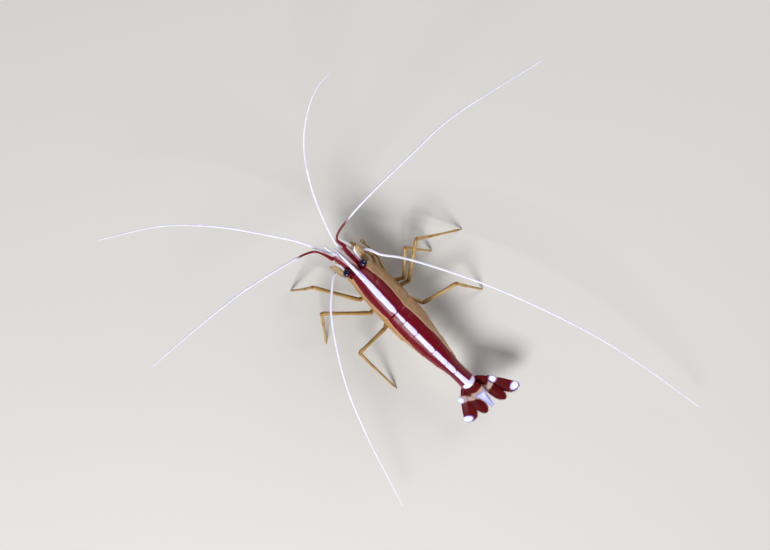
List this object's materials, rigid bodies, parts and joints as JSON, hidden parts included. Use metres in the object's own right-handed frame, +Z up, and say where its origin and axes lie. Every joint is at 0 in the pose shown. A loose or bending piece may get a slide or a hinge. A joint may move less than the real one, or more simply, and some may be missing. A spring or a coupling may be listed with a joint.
{
  "type": "cleaner shrimp",
  "caption": "Life-size still cleaner shrimp standing on its walking feet, body out straight, tail fan spread and long white feelers held out.",
  "frame": {"origin": "on the floor under the middle of the whole animal's box, feelers included", "axes": "+X out of the head, +Y to the animal's left, +Z up; the six rear walking feet stand on z = 0"},
  "size_m": [0.1356, 0.1152, 0.0263],
  "materials": {
    "banded_shell": "thin glossy shell: deep crimson back with a white stripe down the ridge and amber flanks",
    "tail_shell": "glossy dark red blades with white spots and clear edges",
    "red_limb": "glossy red jointed stems with paler inner sides",
    "amber_limb": "clear amber jointed legs and blades",
    "feeler": "satin white many-ringed feelers, red near the roots of some",
    "eye": "polished navy black"
  },
  "bodies": {
    "root": {"carapace": "banded_shell", "rostrum": "banded_shell", "thorax_underside": "amber_limb", "mouthparts": "amber_limb", "abdomen_1": "banded_shell", "abdomen_2": "banded_shell", "abdomen_3": "banded_shell", "abdomen_4": "banded_shell", "abdomen_5": "banded_shell", "abdomen_6": "banded_shell", "telson": "tail_shell", "uropod_base_left": "tail_shell", "uropod_exopod_left": "tail_shell", "uropod_endopod_left": "tail_shell", "uropod_base_right": "tail_shell", "uropod_exopod_right": "tail_shell", "uropod_endopod_right": "tail_shell", "eye_left": "eye", "eyestalk_left": "red_limb", "antennule_stem_left": "red_limb", "antenna_stem_left": "amber_limb", "antenna_scale_left": "amber_limb", "jaw_foot_left": "amber_limb", "leg_1_left": "amber_limb", "leg_2_left": "amber_limb", "eye_right": "eye", "eyestalk_right": "red_limb", "antennule_stem_right": "red_limb", "antenna_stem_right": "amber_limb", "antenna_scale_right": "amber_limb", "jaw_foot_right": "amber_limb", "leg_1_right": "amber_limb", "leg_2_right": "amber_limb", "antennule_inner_flagellum_right": "feeler", "antennule_outer_flagellum_right": "feeler", "antennule_inner_flagellum_left": "feeler", "antennule_outer_flagellum_left": "feeler", "antenna_flagellum_right": "feeler", "antenna_flagellum_left": "feeler", "leg_3_left": "amber_limb", "leg_4_left": "amber_limb", "leg_5_left": "amber_limb", "leg_3_right": "amber_limb", "leg_4_right": "amber_limb", "leg_5_right": "amber_limb", "swimmeret_1_left": "amber_limb", "swimmeret_1_right": "amber_limb", "swimmeret_2_left": "amber_limb", "swimmeret_2_right": "amber_limb", "swimmeret_3_left": "amber_limb", "swimmeret_3_right": "amber_limb", "swimmeret_4_left": "amber_limb", "swimmeret_4_right": "amber_limb", "swimmeret_5_left": "amber_limb", "swimmeret_5_right": "amber_limb"}
  },
  "joints": []
}
